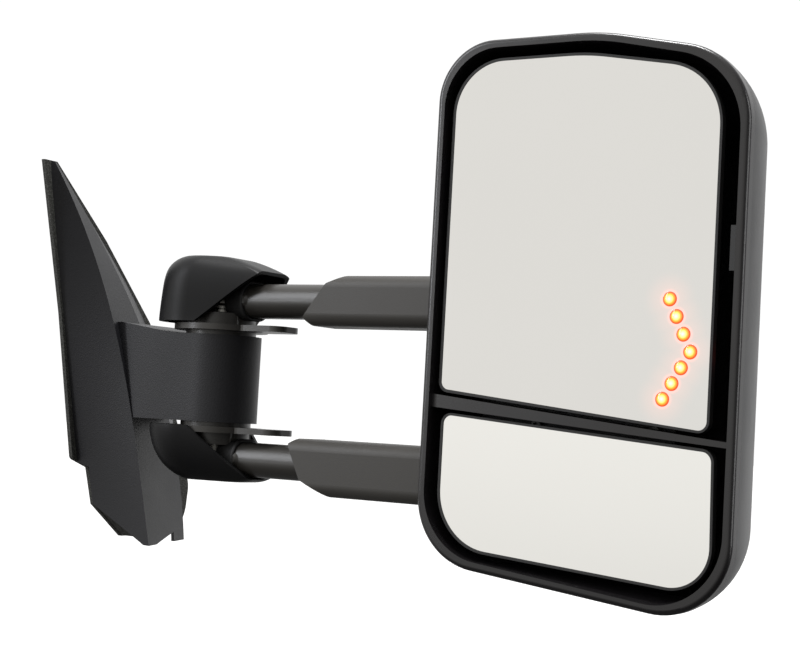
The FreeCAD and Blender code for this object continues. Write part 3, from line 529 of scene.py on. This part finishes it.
# %% Helpers for new pieces
def add_piece(name, mesh_bm, finish, body, replaces=(), smooth=True):
    """Turn a bmesh into a piece of the mirror that rides on a body."""
    bmesh.ops.recalc_face_normals(mesh_bm, faces=mesh_bm.faces)
    mesh = bpy.data.meshes.new(name)
    mesh_bm.to_mesh(mesh)
    mesh_bm.free()
    for polygon in mesh.polygons:
        polygon.use_smooth = smooth
    mesh.materials.append(finish.material)
    piece = bpy.data.objects.new(name, mesh)
    bpy.context.collection.objects.link(piece)
    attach(piece, body)
    if replaces:
        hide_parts(*replaces)


def upright_to(place, axis):
    """The move that takes the origin to a place and +Z to an axis."""
    swing = Vector((0, 0, 1)).rotation_difference(Vector(axis))
    return Matrix.Translation(place) @ swing.to_matrix().to_4x4()


def move_fresh(mesh_bm, merge, matrix):
    """Merge and move the vertices that no piece has yet, then mark them as taken."""
    fresh = [v for v in mesh_bm.verts if not v.tag]
    bmesh.ops.remove_doubles(mesh_bm, verts=fresh, dist=merge)
    fresh = [v for v in mesh_bm.verts if not v.tag]
    bmesh.ops.transform(mesh_bm, matrix=matrix, verts=fresh)
    for vert in fresh:
        vert.tag = True
    return fresh


def spin_profile(mesh_bm, profile, place, axis, steps):
    """Spin (radius, height) points about an axis through a place, closed at radius 0."""
    verts = [mesh_bm.verts.new((radius, 0, height)) for radius, height in profile]
    edges = [mesh_bm.edges.new(pair) for pair in zip(verts, verts[1:])]
    bmesh.ops.spin(mesh_bm, geom=verts + edges, cent=(0, 0, 0), axis=(0, 0, 1), angle=math.tau,
                   steps=steps, use_merge=True, use_duplicate=False)
    return move_fresh(mesh_bm, 1e-7, upright_to(place, axis))


# %% Signal lamp domes
DOME = [
    (0, 0.9), (1.1, 0.84), (2.1, 0.66), (3.0, 0.42), (3.7, 0.16), (4.1, -0.02), (4.2, -0.1), (2.98, -0.1),
    (2.98, -2.8), (0, -2.8),
]
lamp_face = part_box("signal_lamps")[0][1]
domes = bmesh.new()
from_crown = domes.verts.layers.float.new("from_crown")
for lamp in lamp_places:
    crown = Vector((lamp.x, lamp_face, lamp.z))
    for vert in spin_profile(domes, [(r * MM, h * MM) for r, h in DOME], crown, (0, -1, 0), 28):
        vert[from_crown] = min(1, math.hypot(vert.co.x - lamp.x, vert.co.z - lamp.z) / lamp_radius)


def lamp_finish():
    finish = Finish("amber_lens", (0.9, 0.25, 0.03), 0.12, specular=0.5)
    attribute = finish.tree.nodes.new("ShaderNodeAttribute")
    attribute.attribute_name = "from_crown"
    away = Socket(finish.tree, attribute.outputs["Fac"])
    glow = away.node("ValToRGB", {"stops": [
        (0.0, (1.0, 0.95, 0.62)), (0.32, (1.0, 0.83, 0.30)), (0.6, (1.0, 0.42, 0.05)),
        (0.85, (0.93, 0.10, 0.02)), (1.0, (0.62, 0.05, 0.02)),
    ]}, Fac=away)
    finish.set("Base Color", glow)
    finish.set("Emission Color", glow)
    finish.set("Emission Strength", 1.1)
    return finish


add_piece("signal_domes", domes, lamp_finish(), "upper_mirror", ["signal_lamps"])
print("lamp domes made")

# %% [markdown]
# ## Threaded studs
# Three studs hold the mirror to the door.  The frame has them as plain rods pressed into the mount, so
# they are remade with a rolled thread.  A thread is a small tooth swept along a helix, and the spin
# operator does that when each step also moves along the axis.

# %% Studs
PITCH_OF_THREAD = 1.25 * MM
CREST, ROOT = 4.0 * MM, 3.3 * MM
STEPS_PER_TURN = 20
# The rod inside the thread, then the pressed collar and the flat head, from the tip, in millimetres.
STUD_CORE = [
    (0, 0), (2.9, 0), (3.32, 0.9), (3.32, 20), (4.6, 20), (4.6, 27), (8, 27), (8, 30.4), (7.4, 31), (0, 31),
]
stud_places = solid_places("mounting_studs")
stud_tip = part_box("mounting_studs")[0][0]


def thread(mesh_bm, place, start, length):
    """A thread along +X from start."""
    turns = length / PITCH_OF_THREAD - 1
    tooth = [(ROOT, 0), (CREST, 0.45), (CREST, 0.6), (ROOT, 1)]
    verts = [mesh_bm.verts.new((start + share * PITCH_OF_THREAD, 0, radius)) for radius, share in tooth]
    edges = [mesh_bm.edges.new(pair) for pair in zip(verts, verts[1:])]
    steps = round(turns * STEPS_PER_TURN)
    bmesh.ops.spin(mesh_bm, geom=verts + edges, cent=(0, 0, 0), axis=(1, 0, 0), angle=turns * math.tau,
                   dvec=(turns * PITCH_OF_THREAD / steps, 0, 0), steps=steps, use_duplicate=False)
    move_fresh(mesh_bm, 1e-6, Matrix.Translation((0, place.y, place.z)))


studs = bmesh.new()
for place in stud_places:
    thread(studs, place, stud_tip + 1 * MM, -stud_tip - 2 * MM)
    spin_profile(studs, [(r * MM, h * MM) for r, h in STUD_CORE], (stud_tip, place.y, place.z), (1, 0, 0), 32)
add_piece("threaded_studs", studs, zinc_steel, "door_mount", ["mounting_studs"], smooth=False)
print("studs:", len(stud_places))

# %% [markdown]
# ## Tube collars
# Under each pivot cap a soft collar closes the gap between the bracket and the tube, so that neither
# grit nor light reaches the springs.  It is a short sleeve with a rolled edge: rings of one rounded
# outline, grown and shrunk along the tube.


# %% Collars
RING_POINTS = 64
COLLAR_BACK = 11.3 * MM  # how far the collar starts behind the tube's end
# The collar's section: distance along it and how far it stands off the tube, in millimetres.
COLLAR = [(0, 0.1), (0, 1.0), (0.6, 1.5), (12.5, 1.5), (13.6, 2.1), (14.6, 1.9), (15.2, 1.2), (15.2, 0.1)]


def tube_ring(mesh_bm, x, middle_z, half_wide, half_high, corner):
    """A closed ring of points round a rounded rectangle, across the X axis."""
    ring = []
    for i in range(RING_POINTS):
        angle = math.tau * (i + 0.5) / RING_POINTS
        side_y = math.copysign(half_wide - corner, math.cos(angle))
        side_z = math.copysign(half_high - corner, math.sin(angle))
        spot = (x, side_y + corner * math.cos(angle), middle_z + side_z + corner * math.sin(angle))
        ring.append(mesh_bm.verts.new(spot))
    return ring


def collar(mesh_bm, tube_node):
    """A sleeve with a rolled lip round the root of a tube."""
    low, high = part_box(tube_node)
    half_wide = (high[1] - low[1]) / 2
    half_high = (high[2] - low[2]) / 2
    middle_z = (high[2] + low[2]) / 2
    corner = half_high - 0.5 * MM
    rings = []
    for ahead, off in COLLAR:
        grow = off * MM
        x = low[0] - COLLAR_BACK + ahead * MM
        rings.append(tube_ring(mesh_bm, x, middle_z, half_wide + grow, half_high + grow, corner + grow))
    for near, far in zip(rings, rings[1:] + rings[:1]):
        for i in range(len(near)):
            mesh_bm.faces.new((near[i], near[i - 1], far[i - 1], far[i]))


collars = bmesh.new()
for tube_node in ("upper_arm_tube", "lower_arm_tube"):
    collar(collars, tube_node)
add_piece("tube_collars", collars, black_rubber, "arms")
print("collars made")

# %% [markdown]
# ## Socket screws
# Eleven small screws hold the cover, the shell and the actuator.  Each gets a domed head with a six-sided
# socket.  The head and its socket are rings of the same number of points, so a ring can be round or
# six-sided and the walls between rings still close.


# %% Screws
def ring_point(radius, angle, six_sided):
    """A point of a round or six-sided ring."""
    if six_sided:
        radius *= math.cos(math.pi / 6) / math.cos((angle + math.pi / 6) % (math.pi / 3) - math.pi / 6)
    return radius * math.cos(angle), radius * math.sin(angle)


SCREW_POINTS = 36


def socket_screw(mesh_bm, place, axis, head_radius, head_high, shank_radius, length):
    """A screw whose head starts at a place and whose shank runs on along an axis."""
    socket = head_radius * 0.48
    rings = [
        (socket * 0.96, head_high * 0.62, True), (socket, 0.12 * MM, True), (socket + 0.15 * MM, 0, True),
        (head_radius * 0.86, 0, False), (head_radius * 0.96, head_high * 0.14, False),
        (head_radius, head_high * 0.4, False), (head_radius, head_high, False),
        (shank_radius, head_high, False), (shank_radius, length - 1 * MM, False),
        (shank_radius * 0.6, length, False),
    ]
    matrix = upright_to(place, axis)
    loops = []
    for radius, height, six_sided in rings:
        spots = [ring_point(radius, math.tau * i / SCREW_POINTS, six_sided) for i in range(SCREW_POINTS)]
        loops.append([mesh_bm.verts.new(matrix @ Vector((x, y, height))) for x, y in spots])
    for near, far in zip(loops, loops[1:]):
        for i in range(SCREW_POINTS):
            mesh_bm.faces.new((near[i], near[i - 1], far[i - 1], far[i]))
    mesh_bm.faces.new(loops[0])
    mesh_bm.faces.new(reversed(loops[-1]))


def screw_set(node, axis, head_radius, head_high, shank_radius, finish):
    """Remake every screw of a node, with its head at the node's near end along the axis."""
    low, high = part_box(node)
    along = max(range(3), key=lambda i: abs(axis[i]))
    length = high[along] - low[along]
    made = bmesh.new()
    places = solid_places(node)
    for place in places:
        place[along] = low[along] if axis[along] > 0 else high[along]
        socket_screw(made, place, axis, head_radius * MM, head_high * MM, shank_radius * MM, length)
    add_piece("socket_" + node, made, finish, node_body[node], [node], smooth=False)
    print(node, len(places))


screw_set("cover_screws", (1, 0, 0), 4, 2.6, 2, zinc_steel)
screw_set("shell_screws", (0, 1, 0), 3.6, 2.4, 2, arm_paint)
screw_set("actuator_screws", (0, -1, 0), 3, 2, 1.5, zinc_steel)
